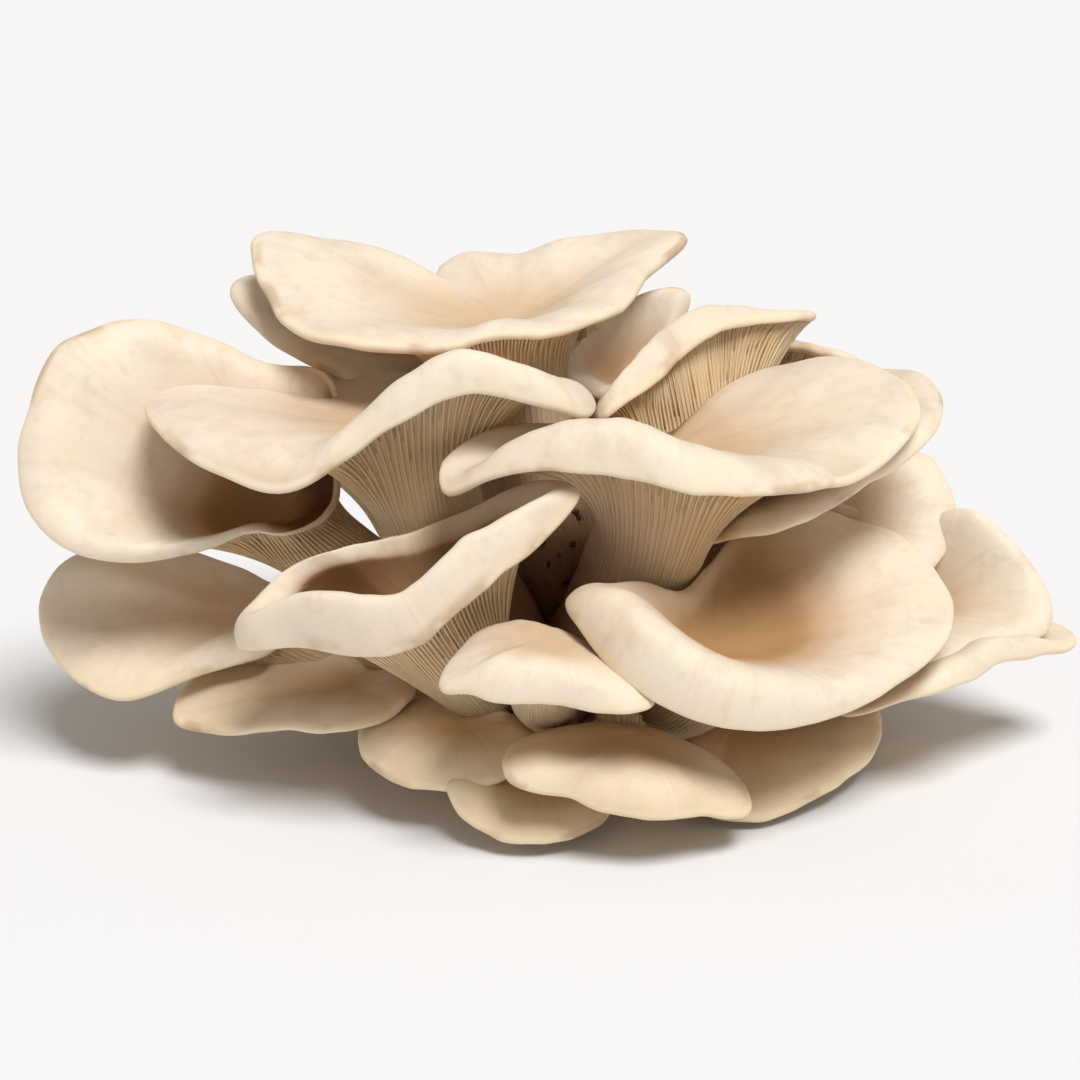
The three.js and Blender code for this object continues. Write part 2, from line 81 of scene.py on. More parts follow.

# hub: middle of the cap; faces: the way it leans, in degrees from +X towards +Y, and how far;
# rim: bearing around the hub from its lowest side, reach, lift and shoulder roll;
# root: end of the stem; stem: neck radius, foot radius, length of the flared neck.
MUSHROOMS = {
    "centre_funnel": {
        "size": LARGE, "shoulder": 0.22,
        "hub": (23, -12, 72), "faces": (-100, 5), "root": (6, 2, 14), "stem": (12, 10, 20),
        "rim": ((75, 38, 1, 6), (105, 52, 7, 1), (130, 47, 10, 0), (160, 36, 3, 0),
                (180, 19, -3, 0), (225, 14, 0, 0), (275, 20, 6, 0), (290, 35, 8, 2),
                (299, 46, 5, 4), (306, 48, 1, 10), (316, 43, 6, 16), (332, 35, 9, 20),
                (355, 30, 8, 22)),
    },
    "left_saddle": {
        "size": LARGE, "shoulder": 0.22,
        "hub": (-26, -8, 76), "faces": (-100, 5), "root": (-4, 2, 14), "stem": (11, 10, 18),
        "rim": ((5, 25, 12, 20), (40, 27, 17, 22), (75, 38, 10, 18), (115, 30, 7, 2),
                (160, 24, 3, 0), (200, 28, 1, 0), (230, 38, 0, 0), (275, 53, 6, 2),
                (290, 53, 6, 5), (325, 39, -1, 12), (345, 29, 6, 17)),
    },
    "front_bowl": {
        "size": LARGE, "shoulder": 0.22,
        "hub": (34, -25, 36), "faces": (-60, 25), "root": (12, -4, 12), "stem": (11, 10, 14),
        "rim": ((0, 30, 6, 17), (40, 35, 8, 6), (75, 48, 11, 1), (120, 45, 8, 0),
                (140, 31, 4, 0), (160, 16, 5, 0), (205, 11, 6, 0), (243, 22, 12, 0),
                (258, 35, 14, 12), (272, 36, 14, 24), (300, 34, 11, 27)),
    },
    "top": {
        "size": LARGE,
        "hub": (-9, 20, 90), "faces": (-90, 5), "root": (8, 14, 18), "stem": (13, 10, 14),
        "rim": ((34, 21, 5, 4), (82, 25, 6, 3), (107, 31, 7, 3), (116, 38, 8, 2),
                (122, 46, 10, 2), (133, 46, 9, 1), (154, 33, 8, 0), (172, 27, 6, 0),
                (195, 28, 6, 0), (212, 25, 5, 0), (223, 23, 4, 2), (233, 33, 9, 1),
                (244, 43, 12, 0), (255, 52, 15, 0), (266, 51, 13, 0), (277, 48, 10, 1),
                (293, 45, 6, 2), (308, 40, 5, 3), (327, 30, 4, 4), (354, 22, 6, 4)),
    },
    "left_fan": {
        "size": LARGE,
        "hub": (-54, 0, 54), "faces": (-115, 50), "root": (-8, 8, 14), "stem": (9, 9, 16),
        "rim": ((50, 8, 6, 3), (96, 9, 1, 1), (151, 14, -2, 0), (169, 28, 9, 2),
                (194, 28, 15, 3), (215, 35, 22, 3), (226, 40, 28, 3), (238, 43, 32, 3),
                (249, 44, 36, 2), (268, 44, 36, 2), (286, 44, 33, 3), (306, 38, 28, 3),
                (319, 28, 22, 4), (329, 19, 17, 5), (352, 9, 12, 4)),
    },
    "left_curl": {
        "size": LARGE, "shoulder": 0.22,
        "hub": (-19, -26, 35), "faces": (-150, 30), "root": (-6, -6, 14), "stem": (8, 8, 12),
        "rim": ((3, 27, 26, 30), (22, 23, 21, 37), (43, 21, 18, 35), (64, 20, 18, 30),
                (89, 21, 20, 27), (116, 25, 21, 28), (135, 32, 21, 24), (147, 39, 23, 12),
                (165, 31, 24, 2), (190, 19, 21, 0), (233, 10, 23, 0), (305, 12, 29, 0),
                (326, 23, 31, 0), (346, 35, 28, 18)),
    },
    "centre_shell": {
        "size": SMALL,
        "hub": (-1, -48, 46), "faces": (-80, 20), "root": (2, -14, 16), "stem": (6, 8, 9),
        "rim": ((5, 15, -3, 10), (55, 24, -5, 6), (75, 17, -6, 5), (110, 11, -6, 5),
                (170, 9, -5, 5), (260, 16, -4, 4), (287, 21, -5, 5), (305, 18, -3, 9)),
    },
    "front_shell": {
        "size": SMALL,
        "hub": (16, -41, 23), "faces": (-80, 25), "root": (8, -16, 8), "stem": (7, 8, 7),
        "rim": ((30, 22, -3, 8), (57, 27, -8, 7), (115, 14, -10, 5), (190, 6, -5, 4),
                (240, 14, -5, 5), (290, 27, 1, 5), (320, 19, -1, 8)),
    },
    "right_wing": {
        "size": LARGE,
        "hub": (41, 5, 60), "faces": (-60, 30), "root": (14, 4, 15), "stem": (8, 9, 14),
        "rim": ((25, 24, 21, 5), (60, 33, 26, 5), (90, 37, 23, 3), (108, 36, 15, 2),
                (140, 19, 0, 1), (200, 12, -1, 1), (280, 14, -3, 1), (310, 21, 1, 3),
                (330, 24, 10, 4)),
    },
    "upper_right": {
        "size": LARGE, "shoulder": 0.22, "bow": 0.15,
        "hub": (30, 16, 74), "faces": (140, 40), "root": (12, 16, 16), "stem": (9, 8, 22),
        "rim": ((40, 10, 8, 1), (85, 25, 4, 9), (110, 14, 6, 18), (145, 11, 8, 18),
                (215, 19, 9, 15), (240, 34, 5, 3), (260, 35, 8, 0), (275, 28, 10, 0),
                (295, 16, 10, 0)),
    },
    "front_left_shell": {
        "size": SMALL,
        "hub": (-18, -28, 20), "faces": (-105, 15), "root": (-4, -12, 9), "stem": (6, 7, 8),
        "rim": ((10, 16, -4, 8), (55, 17, -3, 6), (85, 17, -1, 5), (155, 7, -3, 3),
                (245, 15, -2, 4), (280, 20, -2, 4)),
    },
    "front_foot": {
        "size": SMALL,
        "hub": (-2, -33, 12), "faces": (-90, 20), "root": (2, -14, 7), "stem": (6, 7, 7),
        "rim": ((15, 19, -1, 6), (85, 16, -2, 3), (170, 5, -2, 1), (240, 11, -1, 2),
                (295, 19, 4, 3), (315, 20, 1, 4)),
    },
    "low_right": {
        "size": SMALL,
        "hub": (39, -12, 13), "faces": (-60, 15), "root": (14, 0, 11), "stem": (6, 8, 8),
        "rim": ((20, 26, -1, 6), (75, 32, 0, 3), (100, 34, -4, 2), (120, 29, -6, 1),
                (160, 11, -3, 1), (205, 5, -1, 1), (260, 10, -1, 1), (305, 23, -1, 3),
                (322, 27, -3, 4)),
    },
    "right_middle": {
        "size": SMALL,
        "hub": (58, 20, 46), "faces": (-60, 35), "root": (16, 6, 14), "stem": (7, 8, 12),
        "rim": ((0, 13, 2, 3), (29, 23, 4, 3), (49, 27, 7, 3), (67, 28, 10, 2),
                (84, 27, 11, 2), (101, 25, 11, 2), (116, 18, 7, 2), (150, 10, 3, 1),
                (240, 7, 1, 1), (320, 10, 0, 2)),
    },
    "far_right": {
        "size": SMALL,
        "hub": (77, 14, 30), "faces": (-60, 35), "root": (20, 6, 10), "stem": (7, 8, 12),
        "rim": ((15, 24, 14, 4), (40, 28, 15, 5), (90, 18, 18, 4), (125, 15, 18, 2),
                (180, 13, 2, 1), (248, 8, -1, 1), (295, 18, 1, 1), (320, 25, 8, 2),
                (345, 24, 14, 3)),
    },
    "far_right_fold": {
        "size": SMALL,
        "hub": (76, 4, 20), "faces": (-50, 20), "root": (20, 2, 11), "stem": (6, 8, 9),
        "rim": ((0, 21, 16, 11), (35, 26, 14, 9), (58, 34, 12, 1), (80, 22, 9, 0),
                (105, 13, 3, 0), (180, 9, 0, 0), (232, 7, 0, 0), (285, 26, 1, 2),
                (312, 28, 12, 8)),
    },
    "left_low": {
        "size": SMALL,
        "hub": (-61, 3, 32), "faces": (-120, 25), "root": (-10, 6, 10), "stem": (7, 8, 12),
        "rim": ((15, 16, 1, 4), (120, 6, -3, 1), (200, 10, -1, 1), (235, 18, 1, 1),
                (250, 26, 4, 2), (285, 40, 14, 2), (297, 44, 10, 3), (335, 35, 2, 6),
                (355, 22, 2, 5)),
    },
    "left_foot": {
        "size": SMALL,
        "hub": (-41, -8, 21), "faces": (-120, 15), "root": (-6, 0, 9), "stem": (6, 7, 9),
        "rim": ((45, 22, 4, 5), (80, 19, 5, 2), (133, 6, 0, 1), (210, 8, 0, 1),
                (255, 18, 0, 1), (275, 28, 1, 1), (310, 36, 1, 2), (325, 30, 1, 4),
                (355, 23, 4, 5)),
    },
    "upper_rear_left": {
        "size": SMALL,
        "hub": (-31, 35, 79), "faces": (-130, 30), "root": (0, 20, 16), "stem": (8, 8, 14),
        "rim": ((0, 19, 13, 3), (35, 17, 3, 3), (60, 14, -2, 2), (155, 11, -4, 1),
                (220, 17, 1, 1), (255, 24, 11, 1), (280, 28, 21, 1), (305, 28, 26, 2)),
    },
    "rear_peak": {
        "size": SMALL,
        "hub": (15, 32, 74), "faces": (-110, 30), "root": (10, 22, 16), "stem": (7, 8, 12),
        "rim": ((0, 10, 5, 3), (97, 6, 2, 2), (128, 10, 5, 2), (139, 18, 7, 2),
                (147, 22, 9, 2), (162, 17, 11, 1), (180, 10, 12, 1), (217, 6, 12, 3),
                (286, 8, 15, 5), (311, 11, 14, 5), (339, 13, 12, 3)),
    },
    "rear_upper_right": {
        "size": SMALL,
        "hub": (54, 40, 75), "faces": (50, 30), "root": (12, 18, 14), "stem": (8, 8, 12),
        "rim": ((0, 24, 4, 5), (45, 20, 2, 4), (90, 24, 5, 5), (135, 18, 3, 3),
                (180, 12, 2, 2), (225, 14, 3, 2), (315, 22, 3, 4)),
    },
    "rear_centre": {
        "size": LARGE,
        "hub": (0, 57, 57), "faces": (85, 35), "root": (4, 20, 15), "stem": (9, 9, 14),
        "rim": ((0, 30, 4, 7), (45, 34, 7, 8), (90, 31, 3, 7), (135, 26, 5, 5),
                (180, 14, 3, 2), (225, 10, 2, 1), (270, 12, 3, 2), (315, 22, 6, 4)),
    },
    "rear_left": {
        "size": SMALL,
        "hub": (-36, 42, 55), "faces": (125, 30), "root": (-4, 16, 14), "stem": (8, 9, 13),
        "rim": ((0, 28, 3, 6), (45, 31, 5, 7), (90, 24, 3, 4), (135, 16, 3, 2),
                (180, 11, 2, 1), (225, 12, 3, 2), (270, 20, 4, 3), (315, 29, 2, 6)),
    },
    "rear_mid_right": {
        "size": SMALL,
        "hub": (58, 32, 44), "faces": (40, 30), "root": (16, 14, 12), "stem": (7, 8, 12),
        "rim": ((0, 22, 2, 4), (45, 26, 4, 5), (90, 20, 2, 4), (135, 14, 2, 2),
                (180, 10, 1, 1), (270, 14, 3, 3), (315, 18, 3, 4)),
    },
    "rear_low_right": {
        "size": SMALL,
        "hub": (50, 40, 20), "faces": (40, 30), "root": (14, 14, 9), "stem": (7, 8, 10),
        "rim": ((0, 28, 3, 5), (45, 32, 1, 6), (90, 26, 3, 4), (135, 16, 2, 2),
                (178, 7, 0, 1), (270, 16, 2, 2), (315, 24, 2, 4)),
    },
    "rear_low_centre": {
        "size": SMALL,
        "hub": (12, 54, 24), "faces": (75, 30), "root": (6, 20, 9), "stem": (8, 8, 10),
        "rim": ((0, 28, 2, 5), (45, 30, 4, 6), (90, 26, 2, 5), (135, 20, 3, 4),
                (190, 7, 1, 1), (270, 12, 2, 1), (315, 22, 4, 4)),
    },
    "rear_low_left": {
        "size": SMALL,
        "hub": (-34, 38, 21), "faces": (135, 30), "root": (-6, 14, 9), "stem": (7, 8, 10),
        "rim": ((0, 25, 2, 5), (45, 27, 4, 6), (90, 22, 2, 4), (135, 15, 2, 2),
                (185, 7, 0, 1), (270, 18, 3, 3), (315, 26, 1, 5)),
    },
}

# -------------------------------------------------------------------- shapes
def seed_of(name):
    """A fixed number for a name, so each mushroom varies in its own way."""
    return sum((i + 1) * ord(letter) for i, letter in enumerate(name))


def unit(vectors):
    return vectors / np.maximum(np.linalg.norm(vectors, axis=-1, keepdims=True), 1e-9)


def cubic(ends, t):
    """Points of cubic curves. ends is four arrays (rays, 3); t is (steps,)."""
    p0, p1, p2, p3 = (p[:, None, :] for p in ends)
    t = np.asarray(t)[None, :, None]
    s = 1 - t
    return s**3 * p0 + 3 * s * s * t * p1 + 3 * s * t * t * p2 + t**3 * p3


def cubic_slope(ends, t):
    p0, p1, p2, p3 = (p[:, None, :] for p in ends)
    t = np.asarray(t)[None, :, None]
    s = 1 - t
    return 3 * s * s * (p1 - p0) + 6 * s * t * (p2 - p1) + 3 * t * t * (p3 - p2)


def smooth(low, high, x):
    t = np.clip((x - low) / (high - low), 0, 1)
    return t * t * (3 - 2 * t)


def rim_at(rim, turn):
    """Reach, lift and roll at bearings in degrees, smoothly through the rim's rows."""
    rows = np.array(rim, float)
    count = len(rows)
    turn = np.mod(turn, 360)
    i = np.searchsorted(rows[:, 0], turn, side="right") - 1

    def row(k):
        return rows[k % count, 1:], rows[k % count, 0] + 360 * (k // count)

    (before, b0), (here, b1), (there, b2), (after, b3) = (row(i + k) for k in (-1, 0, 1, 2))
    width = b2 - b1
    t = ((turn - b1) / width)[:, None]
    leaving = (there - before) * (width / (b2 - b0))[:, None]
    arriving = (after - here) * (width / (b3 - b1))[:, None]
    return (
        (2 * t**3 - 3 * t**2 + 1) * here
        + (t**3 - 2 * t**2 + t) * leaving
        + (3 * t**2 - 2 * t**3) * there
        + (t**3 - t**2) * arriving
    )


class Mushroom:
    """One mushroom's surfaces as functions of the bearing around its cap."""

    def __init__(self, name, design):
        self.name = name
        self.size = design["size"]
        self.rim = design["rim"]
        self.shoulder = design.get("shoulder", SHOULDER)
        self.neck, self.foot, self.collar = design["stem"]
        self.hub = np.array(design["hub"], float)
        self.root = np.array(design["root"], float)
        bearing, lean = (math.radians(angle) for angle in design["faces"])
        flat = np.array([math.cos(bearing), math.sin(bearing), 0])
        self.top = np.array([*(math.sin(lean) * flat[:2]), math.cos(lean)])
        self.down = np.array([*(math.cos(lean) * flat[:2]), -math.sin(lean)])
        self.across = np.cross(self.top, self.down)
        length = np.linalg.norm(self.hub - self.root)
        bow = design.get("bow", BOW) * min(length, self.hub[2])
        start = self.hub - STEM_TOP * self.top
        bend = self.root + 0.3 * (self.hub - self.root)
        self.axis = [p[None] for p in (start, start - bow * self.top, bend, self.root)]
        steps = np.linspace(0, 1, 101)
        line = cubic(self.axis, steps)[0]
        run = np.concatenate([[0], np.cumsum(np.linalg.norm(np.diff(line, axis=0), axis=1))])
        self.neck_at = float(np.interp(min(self.collar, 0.6 * run[-1]), run, steps))
        rng = np.random.default_rng(seed_of(name))
        self.waves = [(k, rng.uniform(0, TAU), rng.uniform(0, TAU)) for k in RIPPLES]

    def outward(self, turn):
        angle = np.radians(turn)[:, None]
        return np.cos(angle) * self.down + np.sin(angle) * self.across

    def rim_rows(self, turn):
        """The rim with the small ripples of a real margin."""
        rows = rim_at(self.rim, turn)
        angle = np.radians(turn)
        broad = np.clip(rows[:, 0] / 40, 0.15, 1.2)
        for k, phase, other in self.waves:
            rows[:, 0] += broad * RIPPLE_OUT / k * np.sin(k * angle + phase)
            rows[:, 1] += broad * RIPPLE_UP / k * np.sin(k * angle + other)
        return rows

    def margin(self, turn):
        rows = self.rim_rows(turn)
        return self.hub + self.outward(turn) * rows[:, :1] + self.top * rows[:, 1:2]

    def turns(self, count):
        """Bearings for the rays: half even around the hub, half even along the margin."""
        steps = np.linspace(0, 360, 361)
        edge = self.margin(steps)
        length = np.concatenate([[0], np.cumsum(np.linalg.norm(np.diff(edge, axis=0), axis=1))])
        total = steps / 360 + length / length[-1]
        return np.interp(2 * np.arange(count) / count, total, steps)

    def stem_points(self, turn, t):
        """Points around the stem: (rays, steps, 3)."""
        centre = cubic(self.axis, t)
        tangent = unit(cubic_slope(self.axis, t))[0]
        out = self.outward(turn)
        start = -self.top
        turned = []
        for direction in tangent:
            swing = np.cross(start, direction)
            once = np.cross(swing, out)
            turned.append(out + once + np.cross(swing, once) / (1 + start @ direction))
        share = (np.asarray(t) - self.neck_at) / (1 - self.neck_at)
        radius = self.neck + (self.foot - self.neck) * share
        return centre + np.stack(turned, 1) * radius[None, :, None]

    def sections(self, turn):
        """Control points of the crown and of the gilled side, and the margin's directions."""
        rows = self.rim_rows(turn)
        out = self.outward(turn)
        reach, roll = rows[:, :1], rows[:, 2:3]
        edge = self.hub + out * reach + self.top * rows[:, 1:2]
        brow = edge - out * reach * self.shoulder + self.top * roll
        hub = np.repeat(self.hub[None], len(turn), 0)
        crown = [hub, hub + out * reach * FLOOR, brow, edge]
        run = unit(edge - brow)
        face = unit(self.top - run * (run @ self.top)[:, None])
        under = edge - face * 2 * LIP_DROP
        collar = self.stem_points(turn, [self.neck_at])[:, 0]
        tangent = unit(cubic_slope(self.axis, [self.neck_at]))[0, 0]
        span = np.linalg.norm(collar - under, axis=1, keepdims=True)
        climb = np.minimum(0.45 * span, CLIMB * self.collar)
        gills = [under, brow - self.top * FLESH, collar - tangent * climb, collar]
        return crown, gills, edge, run, face

    def thickness(self, turn, crown_ends, points):
        """How far below the crown points lie, ray by ray; negative above it."""
        steps = np.linspace(0, 1, 41)[1:]
        crown, slope = cubic(crown_ends, steps), cubic_slope(crown_ends, steps)
        out = self.outward(turn)[:, None]
        facing = self.top * (slope * out).sum(-1, keepdims=True) - out * (slope @ self.top)[..., None]
        gap = crown[:, None] - points[:, :, None]
        near = np.linalg.norm(gap, axis=-1).argmin(-1)
        ray = np.arange(len(turn))[:, None]
        gap = gap[ray, np.arange(points.shape[1])[None], near]
        below = (gap * facing[ray, near]).sum(-1)
        nearest = distance_to(crown.reshape(-1, 3), points)
        return np.minimum(np.linalg.norm(gap, axis=-1), nearest) * np.sign(below)

    def under_surface(self, turn):
        """The gilled side and the stem as one grid, its outward normals and its gills' depth."""
        crown_ends, gills, _, _, _ = self.sections(turn)
        side = cubic(gills, np.linspace(0, 1, UNDER_ROWS + 1))
        t = np.linspace(self.neck_at, 1, STEM_ROWS + 1)[1:]
        grid = np.concatenate([side, self.stem_points(turn, t)], 1)
        around = np.roll(grid, -1, 0) - np.roll(grid, 1, 0)
        normals = unit(np.cross(np.gradient(grid, axis=1), around))
        flesh = self.thickness(turn, crown_ends, grid)
        on_cap = np.arange(grid.shape[1]) <= UNDER_ROWS
        missing = np.clip(THINNEST - flesh, 0, 3) * on_cap
        rough = smooth(0.3, 1, np.linspace(0, 1, grid.shape[1]))
        uneven = UNEVEN_HIGH * ripple(grid, UNEVEN_LONG, seed_of(self.name) + 1) * rough
        room = np.where(on_cap, 0.5 * np.clip(flesh + missing - OVER_GILLS, 0, 9), 9)
        depth = np.minimum(self.gill_depth()[None], room)
        return grid + normals * (missing + uneven)[..., None], normals, depth

    def gill_depth(self):
        """Depth of the gills on each row, from the margin down the stem."""
        side = np.linspace(0, 1, UNDER_ROWS + 1)
        stem = np.linspace(0, 1, STEM_ROWS + 1)[1:]
        hang = np.concatenate([
            smooth(0.0, 0.22, side) * (1 - 0.9 * smooth(0.2, 0.85, side)),
            0.1 * (1 - smooth(0.0, 0.6, stem)),
        ])
        return self.size["gill_depth"] * hang


def distance_to(surface, points):
    """Distance of each point from the nearest point of a surface."""
    tree = KDTree(len(surface))
    for index, spot in enumerate(surface):
        tree.insert(spot, index)
    tree.balance()
    found = [tree.find(point)[2] for point in points.reshape(-1, 3)]
    return np.array(found).reshape(points.shape[:2])


def ripple(points, wave, seed):
    """A cheap smooth noise between -1 and 1, from a few crossed waves."""
    rng = np.random.default_rng(seed)
    total = np.zeros(points.shape[:-1])
    for _ in range(7):
        direction = rng.normal(size=3)
        direction *= TAU / (wave * rng.uniform(0.7, 1.5)) / np.linalg.norm(direction)
        total += np.sin(points @ direction + rng.uniform(0, TAU))
    return total / 7


def closed_skin(name, first, rows, last, spokes, hollow=None):
    """A closed mesh over a grid of rays; spokes and the hollow's painted shade are values for the materials.
    """
    rays, count, _ = rows.shape
    points = np.concatenate([first[None], rows.reshape(-1, 3), last[None]])
    here = 1 + np.arange(rays)[:, None] * count + np.arange(count - 1)[None]
    there = np.roll(here, -1, 0)
    quads = np.stack([here, here + 1, there + 1, there], -1).reshape(-1, 4)
    starts, ends = here[:, 0], here[:, -1] + 1
    cap = [(0, int(a), int(b)) for a, b in zip(starts, np.roll(starts, -1))]
    tail = [(int(a), len(points) - 1, int(b)) for a, b in zip(ends, np.roll(ends, -1))]
    mesh = bpy.data.meshes.new(name)
    mesh.from_pydata(((points - FRAME_ORIGIN) * MM).tolist(), [], quads.tolist() + cap + tail)
    mesh.polygons.foreach_set("use_smooth", [True] * len(mesh.polygons))
    values = np.concatenate([spokes[:, 0].mean(0)[None], spokes.reshape(-1, 3), spokes[:, -1].mean(0)[None]])
    attribute = mesh.attributes.new("spoke", "FLOAT_VECTOR", "POINT")
    attribute.data.foreach_set("vector", values.astype(np.float32).ravel())
    if hollow is not None:
        values = np.concatenate([hollow[:1, 0], hollow.ravel(), hollow[:1, -1]])
        attribute = mesh.attributes.new("hollow", "FLOAT", "POINT")
        attribute.data.foreach_set("value", values.astype(np.float32))
    mesh.update()
    return mesh


def spoke_values(turn, profile):
    """cos and sin of the bearing, and the place along the profile, for radial patterns."""
    angle = np.radians(turn)[:, None]
    place = np.repeat(profile[None], len(turn), 0)
    return np.stack([np.cos(angle) + 0 * place, np.sin(angle) + 0 * place, place], -1)


def mushroom_mesh(shroom):
    """Cap, lip, gilled side and stem as one closed skin."""
    turn = shroom.turns(shroom.size["rays"])
    crown_ends, _, edge, run, face = shroom.sections(turn)
    steps = np.linspace(0, 1, CROWN_ROWS + 1)[1:]
    crown = cubic(crown_ends, steps)
    swell = SWELL_HIGH * ripple(crown, SWELL_LONG, seed_of(shroom.name))
    swell = swell + PUCKER_HIGH * ripple(crown, PUCKER_LONG, 5)
    crown = crown + shroom.top * (swell * smooth(1.0, 0.8, steps))[..., None]
    crown[:, -1] += face * (MARGIN_RADIUS - LIP_DROP)
    middle = edge - face * LIP_DROP
    angles = np.pi * np.arange(1, LIP_ROWS + 1) / (LIP_ROWS + 1)
    lip = middle[:, None] + MARGIN_RADIUS * (
        face[:, None] * np.cos(angles)[None, :, None] + run[:, None] * np.sin(angles)[None, :, None]
    )
    under, normals, depth = shroom.under_surface(turn)
    under = under - normals * depth[..., None]
    rows = np.concatenate([crown, lip, under], 1)
    profile = np.concatenate([
        0.5 * steps,
        np.full(LIP_ROWS, 0.5),
        0.5 + 0.25 * np.linspace(0, 1, UNDER_ROWS + 1),
        0.75 + 0.25 * np.linspace(0, 1, STEM_ROWS + 1)[1:],
    ])
    level = (rows - shroom.hub) @ shroom.top
    rim_level, deep = level[:, CROWN_ROWS].mean(), HOLLOW_SHADE_DEPTH.get(shroom.name, USUAL_SHADE_DEPTH)
    if shroom.name in CLOSED_CAPS:
        rim_level, deep = level[:, CROWN_ROWS:CROWN_ROWS + 1] - CLOSED_BAND, CLOSED_SHADE_DEPTH
    # painted shade: a mask that grows with depth below the rim, on the cap's top side only
    hollow = smooth(0, 1, (rim_level - level) / deep) * (profile < 0.5)
    return closed_skin(shroom.name, shroom.hub, rows, shroom.root, spoke_values(turn, profile), hollow)


# --------------------------------------------------------------------- gills
def gill_end(rng, order):
    """The row where a gill ends: every fourth runs down the stem, the others stop on the cap."""
    if order == 0:
        return UNDER_ROWS + int(STEM_ROWS * rng.uniform(0.35, 0.95))
    if order == 2:
        return int(UNDER_ROWS * rng.uniform(0.5, 0.72))
    return int(UNDER_ROWS * rng.uniform(0.22, 0.42))


def gill_lines(shroom):
    """Lines on the gilled side, each with the vectors that give a gill its depth and thickness."""
    rng = np.random.default_rng(seed_of(shroom.name) + 7)
    fine = 360
    grid, normals, depths = shroom.under_surface(shroom.turns(fine))
    total_rows = grid.shape[1]
    count = shroom.size["gills"]
    points, hangs, sides, edges = [], [], [], []
    for k in range(count * 4):
        full = k % 4 == 0
        last = gill_end(rng, k % 4)
        every = 1 if full else 2
        rows = np.unique(np.append(np.arange(1, last, every), last))
        rows = rows[rows < total_rows - 1]
        sway = rng.uniform(-0.35, 0.35) + 0.25 * np.sin(rows * 0.35 + rng.uniform(0, TAU))
        place = (k + sway * (0.6 + 0.4 * full)) * fine / (count * 4)
        low = np.floor(place).astype(int)
        share = (place - low)[:, None]
        here, there = low % fine, (low + 1) % fine
        line = grid[here, rows] * (1 - share) + grid[there, rows] * share
        normal = unit(normals[here, rows] * (1 - share) + normals[there, rows] * share)
        depth = depths[here, rows] * (1 - share[:, 0]) + depths[there, rows] * share[:, 0]
        ends = np.sin(np.pi * np.clip((np.arange(len(rows)) + 0.35) / len(rows), 0, 1)) ** 0.35
        tall = depth * rng.uniform(0.86, 1.05)
        if full:
            tall = tall * (1 - smooth(0.75, 1, rows / rows[-1]))
        else:
            tall = tall * np.clip(ends, 0, 1) * (1 - smooth(0.6, 1, rows / rows[-1]))
        along = unit(np.gradient(line, axis=0))
        side = unit(np.cross(normal, along))
        first = sum(len(p) for p in points)
        thick = side * (GILL_THICKNESS - GILL_TAPER * (rows / total_rows))[:, None]
        points.append(line + normal * (tall - depth)[:, None] - thick / 2)
        hangs.append(-normal * (tall + 0.2)[:, None])
        sides.append(thick)
        edges += [(first + j, first + j + 1) for j in range(len(rows) - 1)]
    return np.concatenate(points), np.concatenate(hangs), np.concatenate(sides), edges


def line_mesh(name, points, hangs, sides, edges):
    mesh = bpy.data.meshes.new(name)
    mesh.from_pydata(((points - FRAME_ORIGIN) * MM).tolist(), edges, [])
    for label, vectors in (("hang", hangs), ("side", sides)):
        attribute = mesh.attributes.new(label, "FLOAT_VECTOR", "POINT")
        attribute.data.foreach_set("vector", (vectors * MM).astype(np.float32).ravel())
    mesh.update()
    return mesh


def growing_tree(name, given, sizes, material, made):
    """An empty geometry tree with its sockets: what it takes, its sizes, its material, what it makes."""
    tree = bpy.data.node_groups.new(name, "GeometryNodeTree")
    face = tree.interface
    face.new_socket(given, in_out="INPUT", socket_type="NodeSocketGeometry")
    for label, value in sizes:
        face.new_socket(label, in_out="INPUT", socket_type="NodeSocketFloat").default_value = value
    face.new_socket(material, in_out="INPUT", socket_type="NodeSocketMaterial")
    face.new_socket(made, in_out="OUTPUT", socket_type="NodeSocketGeometry")
    return tree


def painted(tree, grown_shape, material, made):
    """Ends a tree: its shape is made real and given its material."""
    new, link = tree.nodes.new, tree.links.new
    real, paint = new("GeometryNodeRealizeInstances"), new("GeometryNodeSetMaterial")
    link(grown_shape, real.inputs["Geometry"])
    link(real.outputs["Geometry"], paint.inputs["Geometry"])
    link(material, paint.inputs["Material"])
    link(paint.outputs["Geometry"], made)


